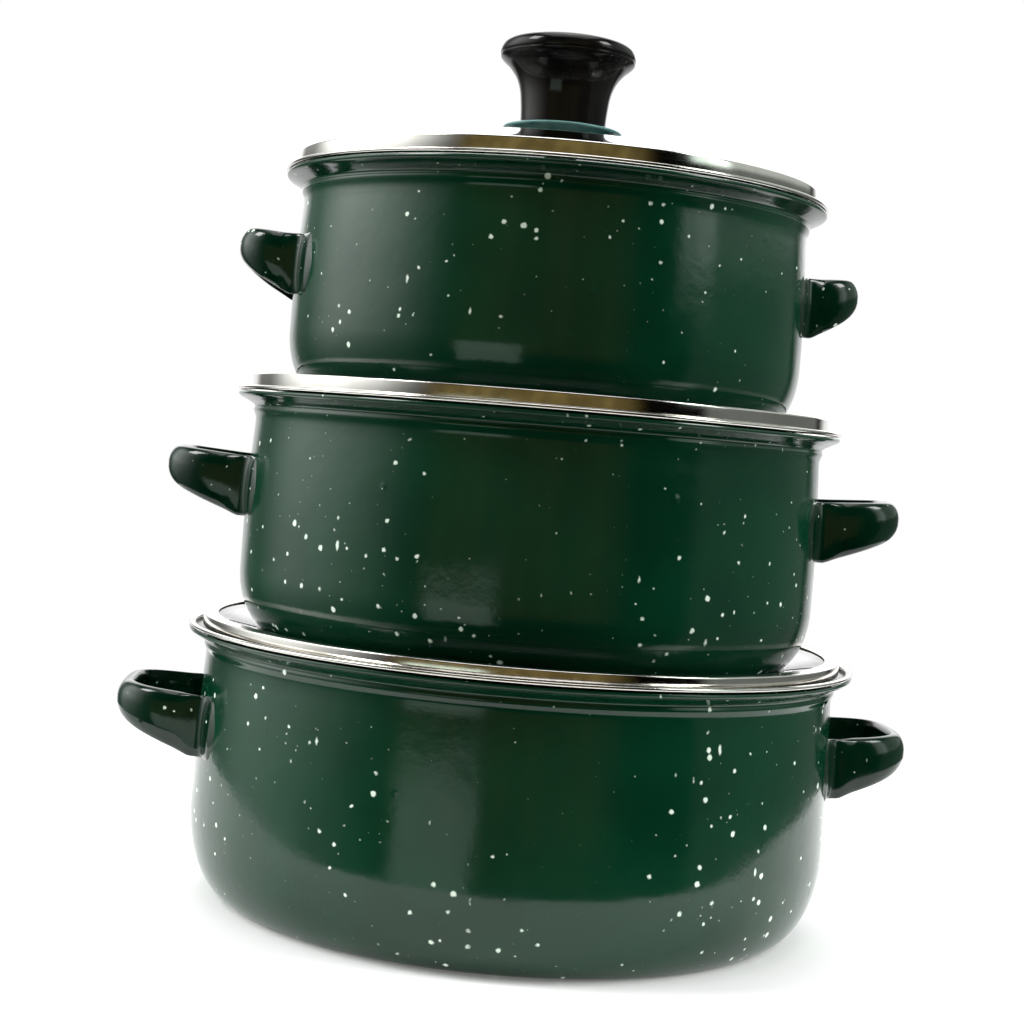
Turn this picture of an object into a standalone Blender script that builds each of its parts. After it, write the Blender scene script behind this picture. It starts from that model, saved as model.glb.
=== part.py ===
"""Stack of three enamelled steel casserole pots with glass lids.

Units are metres, +Z is up, the pots share the Z axis and their handles point about along X.
The lids of the two lower pots lie upside down as shallow dishes that carry the pot above;
the lid of the top pot is the right way up.
"""

from collections import namedtuple
from math import cos, pi, radians, sin

import bmesh
import bpy

# ---------------------------------------------------------------- driving dimensions
GAP = 0.0003              # clearance between touching pieces
ROUND_STEPS = 28          # facets round the pots and lids
KNOB_STEPS = 16           # facets round the knobs and their hardware

WALL = 0.0012             # thickness of the enamelled sheet steel
BELLY = 0.0021            # how far the belly stands out beyond the nominal radius
BELLY_BELOW_RIM = 0.050   # depth of the widest point of the wall below the rim

TRIM_REACH = 0.0070       # steel rim trim beyond the nominal radius
TRIM_INNER = 0.0022       # inner edge of the rim trim beyond the nominal radius

GLASS = 0.0030            # thickness of the glass
GLASS_REACH = 0.0014      # glass edge beyond the nominal radius
DOME_RISE = 0.0155        # height of the dome over its edge
BAND_REACH = 0.0024       # outer face of the lid band beyond the nominal radius
BAND_LAP = 0.0035         # how far the band laps over the glass
BAND_SHEET = 0.0004       # thickness of the band steel
GLASS_HOLE = 0.0050       # radius of the hole for the knob screw
BAND_HEIGHT = GLASS + 2.0 * GAP + 2.0 * BAND_SHEET

HANDLE_DROP = 0.022       # top of the handle root below the rim
HANDLE_ROOT = 0.019       # height of the strap where it meets the wall
HANDLE_TIP = 0.012        # height of the strap at its outer end
HANDLE_RISE = 0.0016      # how far the strap's upper edge climbs towards its outer end
HANDLE_SHEET = 0.0052     # thickness of the strap
HANDLE_FOOT = 0.013       # length of the foot that lies along the wall

COLLAR_HEIGHT = 0.0026
KNOB_HEIGHT = 0.0280
KNOB_SEAT = 0.0060        # depth of the threaded seat in the knob
INSERT_RADIUS = 0.0042
SCREW_RADIUS = 0.0020
SCREW_HEAD = 0.0058
WASHER_RADIUS = 0.0080
WASHER_HEIGHT = 0.0012

# radius: nominal body radius; lid: nominal lid radius; reach: how far a handle stands out
# beyond the body radius; spread: half the distance between a handle's foot tips; corner_*:
# height and width of the rounded base corner; drop: how far the lid sinks into the rim;
# turn: how far the pot's handles are turned about the axis from X, in degrees
Pot = namedtuple(
    "Pot", "label radius lid height reach spread corner_height corner_width drop turn",
)
POTS = (
    Pot("large", 0.100, 0.1000, 0.0860, 0.0285, 0.040, 0.028, 0.014, 0.0019, 5.4),
    Pot("medium", 0.090, 0.0900, 0.0771, 0.0289, 0.035, 0.020, 0.012, 0.0005, 0.0),
    Pot("small", 0.080, 0.0816, 0.0717, 0.0208, 0.032, 0.020, 0.012, 0.0002, 4.6),
)
REST_INSET = 0.0200       # the pot above rests on the dish this far in from the radius

ENAMEL_GREEN = (0.010, 0.070, 0.032)
POLISHED_STEEL = (0.72, 0.70, 0.67)
CLEAR_GLASS = (0.85, 0.92, 0.90)
KNOB_BLACK = (0.012, 0.012, 0.013)
COLLAR_TEAL = (0.020, 0.060, 0.055)
BRASS = (0.70, 0.50, 0.20)
SEAL_RUBBER = (0.05, 0.05, 0.05)


# ---------------------------------------------------------------- scene helpers
def clear_scene():
    for obj in list(bpy.data.objects):
        bpy.data.objects.remove(obj, do_unlink=True)


def new_collection(name):
    collection = bpy.data.collections.new(name)
    bpy.context.scene.collection.children.link(collection)
    return collection


def new_material(name, colour, roughness, metallic):
    material = bpy.data.materials.new(name)
    material.use_nodes = True
    shader = material.node_tree.nodes["Principled BSDF"]
    shader.inputs["Base Color"].default_value = (*colour, 1.0)
    shader.inputs["Roughness"].default_value = roughness
    shader.inputs["Metallic"].default_value = metallic
    material.diffuse_color = (*colour, 1.0)
    return material


def new_frame(name, collection, parent, height):
    """An empty on the stack's axis, at the origin of the pieces that lift together."""
    frame = bpy.data.objects.new(name, None)
    frame.empty_display_size = 0.02
    frame.location = (0.0, 0.0, height)
    frame.parent = parent
    collection.objects.link(frame)
    return frame


def add_object(name, mesh, collection, parent, material):
    obj = bpy.data.objects.new(name, mesh)
    mesh.materials.append(material)
    obj.parent = parent
    collection.objects.link(obj)
    return obj


def smooth_round(mesh):
    mesh.shade_smooth()
    mesh.set_sharp_from_angle(angle=radians(35.0))


def bake(obj):
    """Replace the object's mesh by its modified shape, so its sharp edges can be marked."""
    depsgraph = bpy.context.evaluated_depsgraph_get()
    mesh = bpy.data.meshes.new_from_object(obj.evaluated_get(depsgraph))
    mesh.name = obj.name
    obj.modifiers.clear()
    obj.data = mesh
    smooth_round(mesh)


def turned(name, profile, closed, steps, thickness, collection, parent, material):
    """Turn a profile of (radius, height) points, listed down its outer side, about Z."""
    mesh = bpy.data.meshes.new(name)
    edges = [(i, i + 1) for i in range(len(profile) - 1)]
    if closed:
        edges.append((len(profile) - 1, 0))
    mesh.from_pydata([(radius, 0.0, height) for radius, height in profile], edges, [])
    obj = add_object(name, mesh, collection, parent, material)
    screw = obj.modifiers.new("Turn", "SCREW")
    screw.axis = "Z"
    screw.angle = 2.0 * pi
    screw.steps = steps
    screw.render_steps = steps
    screw.use_merge_vertices = True
    screw.merge_threshold = 0.00001
    if thickness:
        shell = obj.modifiers.new("Wall", "SOLIDIFY")
        shell.thickness = thickness
        shell.offset = -1.0
        shell.use_even_offset = True
    bake(obj)
    return obj


# ---------------------------------------------------------------- pots
def wall_radius(radius, depth):
    """Outer radius of the wall at a depth below the rim, above the rounded corner."""
    share = min(depth / BELLY_BELOW_RIM, 1.0)
    return radius + BELLY * sin(0.5 * pi * share)


def pot_profile(spec):
    """Outer side of a pot from the edge of its flared lip to the middle of its base."""
    radius = spec.radius
    height = spec.height
    lip = [
        (radius + 0.0064, height - 0.0030),
        (radius + 0.0036, height - 0.0044),
        (radius + 0.0012, height - 0.0058),
        (radius + 0.0015, height - 0.0074),
        (radius + 0.0008, height - 0.0094),
    ]
    wall = [(wall_radius(radius, depth), height - depth) for depth in (0.012, 0.030)]
    corner = []
    corner_steps = 4
    for i in range(corner_steps + 1):
        angle = 0.5 * pi * i / corner_steps
        corner.append((
            radius + BELLY - spec.corner_width * (1.0 - cos(angle)),
            spec.corner_height * (1.0 - sin(angle)),
        ))
    return lip + wall + corner + [(0.0, 0.0)]


def trim_profile(radius, height, drop):
    """Steel strip on the flared lip: a bead round its edge and a seat for the lid."""
    outer = radius + TRIM_REACH
    inner = radius + TRIM_INNER
    seat = height - drop - 0.0004
    return [
        (inner, seat),
        (outer - 0.0011, height),
        (outer - 0.0002, height - 0.00025),
        (outer, height - 0.0008),
        (outer - 0.0004, height - 0.0013),
        (outer - 0.0012, height - 0.0014),
        (inner, seat - 0.0006),
    ]


def handle_path(radius, depth, reach, spread):
    """Plan of half a loop handle at a depth: along the wall, then out to the middle."""
    wall = wall_radius(radius, depth) + GAP + 0.5 * HANDLE_SHEET
    tip = radius + reach - 0.5 * HANDLE_SHEET
    foot_angle = spread / radius
    bend_angle = (spread - HANDLE_FOOT) / radius
    path = []
    foot_steps = 2
    for i in range(foot_steps + 1):
        angle = foot_angle + (bend_angle - foot_angle) * i / foot_steps
        path.append((wall * cos(angle), wall * sin(angle)))
    bend_x, bend_y = path[-1]
    leg_steps = 5
    for i in range(1, leg_steps + 1):
        angle = 0.5 * pi * i / leg_steps
        out = sin(angle) ** 0.9
        path.append((bend_x + (tip - bend_x) * out, bend_y * cos(angle) ** 0.5))
    path[-1] = (tip, 0.0)
    return path


def handle(name, spec, side, collection, parent, material):
    """A strap handle: a ribbon along its path, mirrored, thickened and rounded off."""
    upper_path = handle_path(spec.radius, HANDLE_DROP, spec.reach, spec.spread)
    lower_path = handle_path(
        spec.radius, HANDLE_DROP + HANDLE_ROOT, spec.reach, spec.spread,
    )
    start = spec.radius + BELLY
    length = spec.reach - BELLY
    build = bmesh.new()
    lower = []
    upper = []
    for (upper_x, upper_y), (lower_x, lower_y) in zip(upper_path, lower_path):
        share = max(0.0, min(1.0, (upper_x - start) / length))
        top = spec.height - HANDLE_DROP + HANDLE_RISE * share
        tall = HANDLE_ROOT + (HANDLE_TIP - HANDLE_ROOT) * share
        upper.append(build.verts.new((side * upper_x, upper_y, top)))
        lower.append(build.verts.new((side * lower_x, lower_y, top - tall)))
    for i in range(len(upper) - 1):
        corners = [lower[i], lower[i + 1], upper[i + 1], upper[i]]
        if side > 0:
            corners.reverse()
        build.faces.new(corners)
    mesh = bpy.data.meshes.new(name)
    build.to_mesh(mesh)
    build.free()
    obj = add_object(name, mesh, collection, parent, material)
    other_half = obj.modifiers.new("Other half", "MIRROR")
    other_half.use_axis = (False, True, False)
    other_half.use_clip = True
    other_half.merge_threshold = 0.00001
    strap = obj.modifiers.new("Strap", "SOLIDIFY")
    strap.thickness = HANDLE_SHEET
    strap.offset = 0.0
    strap.use_even_offset = True
    rounding = obj.modifiers.new("Edges", "BEVEL")
    rounding.width = 0.0016
    rounding.segments = 1
    rounding.limit_method = "ANGLE"
    rounding.angle_limit = radians(60.0)
    bake(obj)
    obj.rotation_euler.z = radians(spec.turn)
    return obj


def pot(spec, collection, parent, enamel, steel):
    turned(
        spec.label + "_pot_shell", pot_profile(spec), False, ROUND_STEPS, WALL,
        collection, parent, enamel,
    )
    turned(
        spec.label + "_pot_rim_trim", trim_profile(spec.radius, spec.height, spec.drop), True,
        ROUND_STEPS, 0.0, collection, parent, steel,
    )
    for side, word in ((-1.0, "left"), (1.0, "right")):
        handle(
            spec.label + "_pot_handle_" + word, spec, side, collection, parent, enamel,
        )


# ---------------------------------------------------------------- lids
def upside(profile, flip):
    """Turn a profile over about the height of zero; it still runs down its outer side."""
    if not flip:
        return profile
    return [(radius, -height) for radius, height in reversed(profile)]


def dome_lift(radius, at):
    """Rise of the domed glass at a radius over the flat margin held by the band."""
    edge = radius + GLASS_REACH
    flat = radius - BAND_LAP + 0.0006
    return DOME_RISE * ((flat / edge) ** 2 - (at / edge) ** 2)


def glass_profile(radius):
    """Closed section of the domed glass disc from its edge to its centre hole."""
    bottom = BAND_SHEET + GAP
    edge = radius + GLASS_REACH
    flat = radius - BAND_LAP + 0.0006
    seat = WASHER_RADIUS + 0.0012
    stations = (flat, radius - REST_INSET, 0.40 * radius, seat)
    rise = [dome_lift(radius, at) for at in stations]
    stations += (GLASS_HOLE,)
    rise.append(rise[-1])
    top = [(at, bottom + GLASS + lift) for at, lift in zip(stations, rise)]
    under = [(at, bottom + lift) for at, lift in zip(stations, rise)]
    return top[::-1] + [(edge, bottom + GLASS), (edge, bottom)] + under


def band_profile(radius):
    """Steel channel that holds the edge of the glass."""
    outer = radius + BAND_REACH
    wall = outer - BAND_SHEET
    inner = radius - BAND_LAP + 0.0012
    chamfer = 0.0004
    return [
        (inner, BAND_HEIGHT),
        (outer - chamfer, BAND_HEIGHT),
        (outer, BAND_HEIGHT - chamfer),
        (outer, chamfer),
        (outer - chamfer, 0.0),
        (inner, 0.0),
        (inner, BAND_SHEET),
        (wall, BAND_SHEET),
        (wall, BAND_HEIGHT - BAND_SHEET),
        (inner, BAND_HEIGHT - BAND_SHEET),
    ]


def centre_height(radius):
    """Height of the flat top of the glass round its centre hole."""
    seat = WASHER_RADIUS + 0.0012
    return BAND_SHEET + GAP + GLASS + dome_lift(radius, seat)


def collar_profile(seat):
    """Flared collar under the knob, with a hole for the screw."""
    return [
        (0.0034, seat + COLLAR_HEIGHT),
        (0.0150, seat + COLLAR_HEIGHT),
        (0.0188, seat + COLLAR_HEIGHT - 0.0001),
        (0.0193, seat + COLLAR_HEIGHT - 0.0005),
        (0.0184, seat + COLLAR_HEIGHT - 0.0012),
        (0.0150, seat + 0.0003),
        (0.0120, seat),
        (0.0034, seat),
    ]


def knob_profile(seat):
    """Flared knob: rounded top edge, narrow waist and a blind seat for the insert."""
    top = seat + KNOB_HEIGHT
    return [
        (0.0, top),
        (0.0150, top - 0.0003),
        (0.0205, top - 0.0016),
        (0.0220, top - 0.0044),
        (0.0214, top - 0.0064),
        (0.0188, top - 0.0090),
        (0.0163, top - 0.0122),
        (0.0149, top - 0.0160),
        (0.0142, top - 0.0215),
        (0.0138, seat),
        (INSERT_RADIUS + 2.0 * GAP, seat),
        (INSERT_RADIUS + 2.0 * GAP, seat + KNOB_SEAT + 2.0 * GAP),
        (0.0, seat + KNOB_SEAT + 2.0 * GAP),
    ]


def insert_profile(seat):
    """Threaded sleeve in the knob that the screw turns into."""
    return [
        (INSERT_RADIUS, seat + KNOB_SEAT),
        (INSERT_RADIUS, seat + GAP),
        (SCREW_RADIUS + 2.0 * GAP, seat + GAP),
        (SCREW_RADIUS + 2.0 * GAP, seat + KNOB_SEAT),
    ]


def screw_profile(head, end):
    """Pan head screw whose head bears under the glass and whose shank runs up."""
    return [
        (0.0, end),
        (SCREW_RADIUS, end),
        (SCREW_RADIUS, head),
        (SCREW_HEAD, head),
        (SCREW_HEAD, head - 0.0008),
        (SCREW_HEAD - 0.0018, head - 0.0020),
        (0.0, head - 0.0022),
    ]


def washer_profile(top):
    """Soft washer between the glass and the screw head."""
    return [
        (WASHER_RADIUS, top),
        (WASHER_RADIUS, top - WASHER_HEIGHT),
        (SCREW_RADIUS + 2.0 * GAP, top - WASHER_HEIGHT),
        (SCREW_RADIUS + 2.0 * GAP, top),
    ]


def lid(label, radius, flip, collection, parent, materials):
    """A glass lid whose band stands on height zero, or hangs from it when turned over."""
    glass, steel, black, teal, brass, rubber = materials
    centre = centre_height(radius)
    collar_seat = centre + GAP
    knob_seat = collar_seat + COLLAR_HEIGHT + GAP
    washer_top = centre - GLASS - GAP
    head = washer_top - WASHER_HEIGHT - GAP
    screw_end = knob_seat + KNOB_SEAT - GAP
    pieces = (
        ("_lid_glass", glass_profile(radius), True, ROUND_STEPS, glass),
        ("_lid_band", band_profile(radius), True, ROUND_STEPS, steel),
        ("_lid_knob_collar", collar_profile(collar_seat), True, KNOB_STEPS, teal),
        ("_lid_knob", knob_profile(knob_seat), False, KNOB_STEPS, black),
        ("_lid_knob_insert", insert_profile(knob_seat), True, KNOB_STEPS, brass),
        ("_lid_screw", screw_profile(head, screw_end), False, KNOB_STEPS, steel),
        ("_lid_seal_washer", washer_profile(washer_top), True, KNOB_STEPS, rubber),
    )
    for suffix, profile, closed, steps, material in pieces:
        turned(
            label + suffix, upside(profile, flip), closed, steps, 0.0,
            collection, parent, material,
        )


# ---------------------------------------------------------------- assembly
def build_stack():
    clear_scene()
    collection = new_collection("camping_cook_pot_set")
    enamel = new_material("green_enamel", ENAMEL_GREEN, 0.10, 0.0)
    steel = new_material("polished_steel", POLISHED_STEEL, 0.12, 1.0)
    glass = new_material("clear_glass", CLEAR_GLASS, 0.02, 0.0)
    black = new_material("knob_black", KNOB_BLACK, 0.08, 0.0)
    teal = new_material("collar_teal", COLLAR_TEAL, 0.20, 0.0)
    brass = new_material("insert_brass", BRASS, 0.30, 1.0)
    rubber = new_material("seal_rubber", SEAL_RUBBER, 0.60, 0.0)
    lid_materials = (glass, steel, black, teal, brass, rubber)

    parent = None
    rest = 0.0
    for spec in POTS:
        pot_frame = new_frame(spec.label + "_pot_frame", collection, parent, rest)
        pot(spec, collection, pot_frame, enamel, steel)
        top_pot = spec is POTS[-1]
        seat = spec.height - spec.drop
        if not top_pot:
            seat += BAND_HEIGHT
        lid_frame = new_frame(spec.label + "_lid_frame", collection, pot_frame, seat)
        lid(spec.label, spec.lid, not top_pot, collection, lid_frame, lid_materials)
        parent = lid_frame
        dish = BAND_SHEET + GAP + dome_lift(spec.lid, spec.lid - REST_INSET)
        rest = GAP - dish


build_stack()
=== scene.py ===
"""Studio scene of a stack of three speckled enamel camping pots with glass lids.

Every CAD node is replaced by a finer mesh on its own CAD body: the turned pieces are made from
nearly the same sections as the CAD solids and stand where the nodes' boxes say, and the handles
are lofted straps. The small differences stay inside the CAD model's box.
"""
from math import cos, hypot, pi, radians, sin

import bmesh
import bpy
from mathutils import Matrix, Vector


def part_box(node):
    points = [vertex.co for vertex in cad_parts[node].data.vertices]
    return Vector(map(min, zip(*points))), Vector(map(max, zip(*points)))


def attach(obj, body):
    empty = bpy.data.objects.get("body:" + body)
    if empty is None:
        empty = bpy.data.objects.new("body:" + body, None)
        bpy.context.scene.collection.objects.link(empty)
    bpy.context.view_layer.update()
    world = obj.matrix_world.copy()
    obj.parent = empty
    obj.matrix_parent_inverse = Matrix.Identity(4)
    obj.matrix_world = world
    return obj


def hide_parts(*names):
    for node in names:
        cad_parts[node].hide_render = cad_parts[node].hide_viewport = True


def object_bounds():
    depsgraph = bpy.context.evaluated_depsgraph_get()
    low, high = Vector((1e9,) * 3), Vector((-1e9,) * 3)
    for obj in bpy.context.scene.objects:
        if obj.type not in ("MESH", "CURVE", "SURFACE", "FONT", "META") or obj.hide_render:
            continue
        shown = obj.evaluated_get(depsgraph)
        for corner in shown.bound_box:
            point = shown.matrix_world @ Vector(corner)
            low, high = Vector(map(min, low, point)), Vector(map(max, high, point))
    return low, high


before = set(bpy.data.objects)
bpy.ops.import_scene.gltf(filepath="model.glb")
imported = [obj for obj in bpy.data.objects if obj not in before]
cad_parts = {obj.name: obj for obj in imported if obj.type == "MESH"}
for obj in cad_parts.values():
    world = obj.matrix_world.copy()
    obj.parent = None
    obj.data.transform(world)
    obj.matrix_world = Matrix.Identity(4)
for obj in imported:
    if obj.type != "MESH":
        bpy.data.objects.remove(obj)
CAD_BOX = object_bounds()

# ---------------------------------------------------------------- dimensions, metres
GAP = 0.0003              # air between touching pieces
WALL = 0.0012             # thickness of the enamelled sheet
BELLY = 0.0021            # how far the wall bulges beyond the nominal radius
BELLY_BELOW_RIM = 0.050   # depth below the rim at which it bulges most
LIP_DEPTH = 0.0120        # depth below the rim at which the plain wall starts
TRIM_REACH = 0.0070       # outer edge of the bead beyond the nominal radius
TRIM_WIDTH = 0.0024       # width of the bead's section
GLASS = 0.0030            # thickness of the glass
GLASS_REACH = 0.0014      # edge of the glass beyond the nominal radius
GLASS_HOLE = 0.0050       # radius of the hole in its centre
GLASS_MARGIN = 0.0006     # the dome starts this far outside the band's lap
SEAT_MARGIN = 0.0012      # flat of the glass round the washer
DOME_RISE = 0.0155        # rise of a dome from its edge to the axis, if it had no flats
BAND_REACH = 0.0024       # outer side of the band beyond the nominal radius
BAND_LAP = 0.0035         # how far inside the nominal radius the CAD band grips the glass
BAND_SHORT = 0.0012       # the flanges here end this far outside that lap
BAND_SHEET = 0.0004
BAND_HEIGHT = GLASS + 2.0 * GAP + 2.0 * BAND_SHEET
HANDLE_DROP = 0.022       # upper edge of a handle's feet below the rim
HANDLE_ROOT = 0.019       # height of the strap at its feet
HANDLE_TIP = 0.012        # height of the strap at its outer end
HANDLE_RISE = 0.0016      # the outer end's upper edge stands this far above the feet's
HANDLE_SHEET = 0.0052     # thickness of the strap
HANDLE_FOOT = 0.013       # length of a foot along the wall
COLLAR_HEIGHT = 0.0026
KNOB_HEIGHT = 0.0280
KNOB_SEAT = 0.0060        # depth of the insert's seat in the knob
INSERT_RADIUS = 0.0042
SCREW_RADIUS = 0.0020
SCREW_HEAD = 0.0058       # radius of the pan head
SCREW_POINT = 0.0005      # chamfer at the screw's end
THREAD_PITCH = 0.0008
THREAD_DEPTH = 0.0003
PLAIN_SHANK = 0.0010      # length of the shank under the head without a thread
INSERT_GROOVES = 7
INSERT_GROOVE_DEPTH = 0.0002
WASHER_RADIUS = 0.0080
WASHER_HEIGHT = 0.0012

SEGMENTS = 240            # steps round the pots and lids
KNOB_SEGMENTS = 96        # steps round the knobs and collars
HARDWARE_SEGMENTS = 48    # steps round the inserts, screws and washers
ON_AXIS = 1e-6            # a point nearer to the axis than this is on it
CORNER_SHARE = 0.45       # most of an edge that a rounded corner may take

# corner height and width of the base; spread of the handle feet, how far a handle stands out
# beyond the nominal radius, and how far the handles are turned about the axis, in degrees
POTS = {
    "large": (0.028, 0.014, 0.040, 0.0285, 5.4),
    "medium": (0.020, 0.012, 0.035, 0.0289, 0.0),
    "small": (0.020, 0.012, 0.032, 0.0208, 4.6),
}


# ---------------------------------------------------------------- outline helpers
def rounded(points, radius, steps=4):
    """Round the corners of a closed outline of (r, z) points with arcs of about this radius."""
    out = []
    count = len(points)
    for i, (x, z) in enumerate(points):
        px, pz = points[i - 1]
        nx, nz = points[(i + 1) % count]
        back = hypot(px - x, pz - z)
        ahead = hypot(nx - x, nz - z)
        if x < ON_AXIS or min(back, ahead) < ON_AXIS:
            out.append((x, z))
            continue
        cut = min(radius, CORNER_SHARE * back, CORNER_SHARE * ahead)
        ax, az = x + (px - x) * cut / back, z + (pz - z) * cut / back
        bx, bz = x + (nx - x) * cut / ahead, z + (nz - z) * cut / ahead
        for k in range(steps + 1):
            t = k / steps
            out.append((
                (1 - t) ** 2 * ax + 2 * t * (1 - t) * x + t * t * bx,
                (1 - t) ** 2 * az + 2 * t * (1 - t) * z + t * t * bz,
            ))
    return out


def spline(points, steps=8):
    """Catmull-Rom curve through (r, z) points."""
    out = []
    for i in range(len(points) - 1):
        p0 = points[max(i - 1, 0)]
        p1, p2 = points[i], points[i + 1]
        p3 = points[min(i + 2, len(points) - 1)]
        for k in range(steps):
            t = k / steps
            out.append(tuple(
                0.5 * (2 * b + (c - a) * t + (2 * a - 5 * b + 4 * c - d) * t * t
                       + (3 * b - a - 3 * c + d) * t ** 3)
                for a, b, c, d in zip(p0, p1, p2, p3)
            ))
    out.append(points[-1])
    return out


def inward(path, distance):
    """The path of (r, z) points moved inwards by a sheet's thickness, ending on the axis."""
    out = []
    last = len(path) - 1
    for i, (x, z) in enumerate(path):
        px, pz = path[max(i - 1, 0)]
        nx, nz = path[min(i + 1, last)]
        dx, dz = nx - px, nz - pz
        length = hypot(dx, dz) or 1.0
        out.append((max(x + dz / length * distance, 0.0), z - dx / length * distance))
    out[-1] = (0.0, path[-1][1] + distance)
    return out


def lathe(name, outline, steps):
    """Turn a closed outline of (r, z) points about Z into a mesh object."""
    verts = []
    rings = []
    for x, z in outline:
        if x < ON_AXIS:
            rings.append([len(verts)] * steps)
            verts.append((0.0, 0.0, z))
        else:
            rings.append(list(range(len(verts), len(verts) + steps)))
            verts.extend(
                (x * cos(2 * pi * k / steps), x * sin(2 * pi * k / steps), z)
                for k in range(steps)
            )
    faces = []
    count = len(rings)
    for i in range(count):
        a, b = rings[i], rings[(i + 1) % count]
        for k in range(steps):
            m = (k + 1) % steps
            quad = [a[k], b[k], b[m], a[m]]
            face = [v for j, v in enumerate(quad) if v not in quad[:j]]
            if len(face) > 2:
                faces.append(face)
    mesh = bpy.data.meshes.new(name)
    mesh.from_pydata(verts, [], faces)
    return link(name, mesh)


def link(name, mesh, sharp=40.0):
    """Face the mesh outwards, shade it smooth and put it in the scene."""
    build = bmesh.new()
    build.from_mesh(mesh)
    bmesh.ops.recalc_face_normals(build, faces=build.faces)
    build.to_mesh(mesh)
    build.free()
    mesh.shade_smooth()
    mesh.set_sharp_from_angle(angle=radians(sharp))
    obj = bpy.data.objects.new(name, mesh)
    bpy.context.scene.collection.objects.link(obj)
    return obj


def place(obj, node, body, material):
    """Give the piece its material and let it stand for a CAD node on its body."""
    obj.data.materials.append(material)
    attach(obj, body)
    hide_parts(node)


# ---------------------------------------------------------------- sections
def wall_radius(radius, depth):
    """Outer radius of the wall at a depth below the rim, above the rounded corner."""
    share = min(depth / BELLY_BELOW_RIM, 1.0)
    return radius + BELLY * sin(0.5 * pi * share)


def pot_outline(radius, base, rim, corner_height, corner_width):
    """Closed section of an enamelled pot: outer side, flat base and inner side."""
    lip = spline([
        (radius + 0.0064, rim - 0.0019),
        (radius + 0.0066, rim - 0.0025),
        (radius + 0.0060, rim - 0.0032),
        (radius + 0.0036, rim - 0.0044),
        (radius + 0.0014, rim - 0.0058),
        (radius + 0.0015, rim - 0.0074),
        (radius + 0.0008, rim - 0.0094),
        (wall_radius(radius, LIP_DEPTH), rim - LIP_DEPTH),
    ])
    height = rim - base
    straight = height - corner_height
    wall = []
    steps = 24
    for i in range(1, steps):
        depth = LIP_DEPTH + (straight - LIP_DEPTH) * i / steps
        wall.append((wall_radius(radius, depth), rim - depth))
    corner = []
    corner_steps = 28
    for i in range(corner_steps + 1):
        angle = 0.5 * pi * i / corner_steps
        corner.append((
            radius + BELLY - corner_width * (1.0 - cos(angle)),
            base + corner_height * (1.0 - sin(angle)),
        ))
    edge = corner[-1][0]
    foot = [
        (edge - 0.0040, base),
        (edge - 0.0055, base + 0.0004),
        (edge * 0.5, base + 0.0006),
        (0.0, base + 0.0006),
    ]
    outer = lip + wall + corner + foot
    inner = inward(outer, WALL)
    return outer + inner[::-1]


def trim_outline(radius, rim):
    """Steel bead on the edge of the flared lip; its top slopes down towards the lid."""
    outer = radius + TRIM_REACH
    inside = outer - TRIM_WIDTH
    return rounded([
        (inside, rim - 0.0007),
        (outer - 0.0011, rim),
        (outer - 0.0002, rim - 0.00025),
        (outer, rim - 0.0008),
        (outer - 0.0004, rim - 0.0013),
        (outer - 0.0012, rim - 0.0015),
        (inside, rim - 0.0015),
    ], 0.0005, steps=5)


def dome_lift(radius, at):
    """Rise of the domed glass at a radius over the flat margin held by the band."""
    edge = radius + GLASS_REACH
    flat = radius - BAND_LAP + GLASS_MARGIN
    return DOME_RISE * ((flat / edge) ** 2 - (at / edge) ** 2)


def centre_height(radius):
    """Height of the flat top of the glass round its centre hole."""
    return BAND_SHEET + GAP + GLASS + dome_lift(radius, WASHER_RADIUS + SEAT_MARGIN)


def glass_outline(radius):
    """Domed disc of even thickness with a rounded edge and a centre hole."""
    bottom = BAND_SHEET + GAP
    edge = radius + GLASS_REACH
    flat = radius - BAND_LAP + GLASS_MARGIN
    seat = WASHER_RADIUS + SEAT_MARGIN
    steps = 40
    stations = [flat + (seat - flat) * i / steps for i in range(steps + 1)]
    rise = [dome_lift(radius, at) for at in stations]
    stations.append(GLASS_HOLE)
    rise.append(rise[-1])
    top = [(at, bottom + GLASS + lift) for at, lift in zip(stations, rise)]
    under = [(at, bottom + lift) for at, lift in zip(stations, rise)]
    edge_round = [
        (edge - 0.0008, bottom + GLASS),
        (edge - 0.0002, bottom + GLASS - 0.0006),
        (edge, bottom + 0.5 * GLASS),
        (edge - 0.0002, bottom + 0.0006),
        (edge - 0.0008, bottom),
    ]
    return top[::-1] + edge_round + under


def band_outline(radius):
    """Steel channel folded round the edge of the glass."""
    outer = radius + BAND_REACH
    wall = outer - BAND_SHEET
    inner = radius - BAND_LAP + BAND_SHORT
    return rounded([
        (inner, BAND_HEIGHT),
        (outer, BAND_HEIGHT),
        (outer, 0.0),
        (inner, 0.0),
        (inner, BAND_SHEET),
        (wall, BAND_SHEET),
        (wall, BAND_HEIGHT - BAND_SHEET),
        (inner, BAND_HEIGHT - BAND_SHEET),
    ], 0.0006, steps=5)


def collar_outline(seat):
    """A thin flared saucer with a rolled edge round the foot of the knob."""
    top = seat + COLLAR_HEIGHT
    return spline([
        (0.0034, top - 0.0002),
        (0.0142, top - 0.0002),
        (0.0162, top - 0.0003),
        (0.0182, top),
        (0.0190, top - 0.0001),
        (0.0193, top - 0.0005),
        (0.0189, top - 0.0010),
        (0.0172, top - 0.0015),
        (0.0150, seat + 0.0004),
        (0.0132, seat + 0.0001),
        (0.0120, seat),
        (0.0034, seat),
    ], steps=5)


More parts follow.
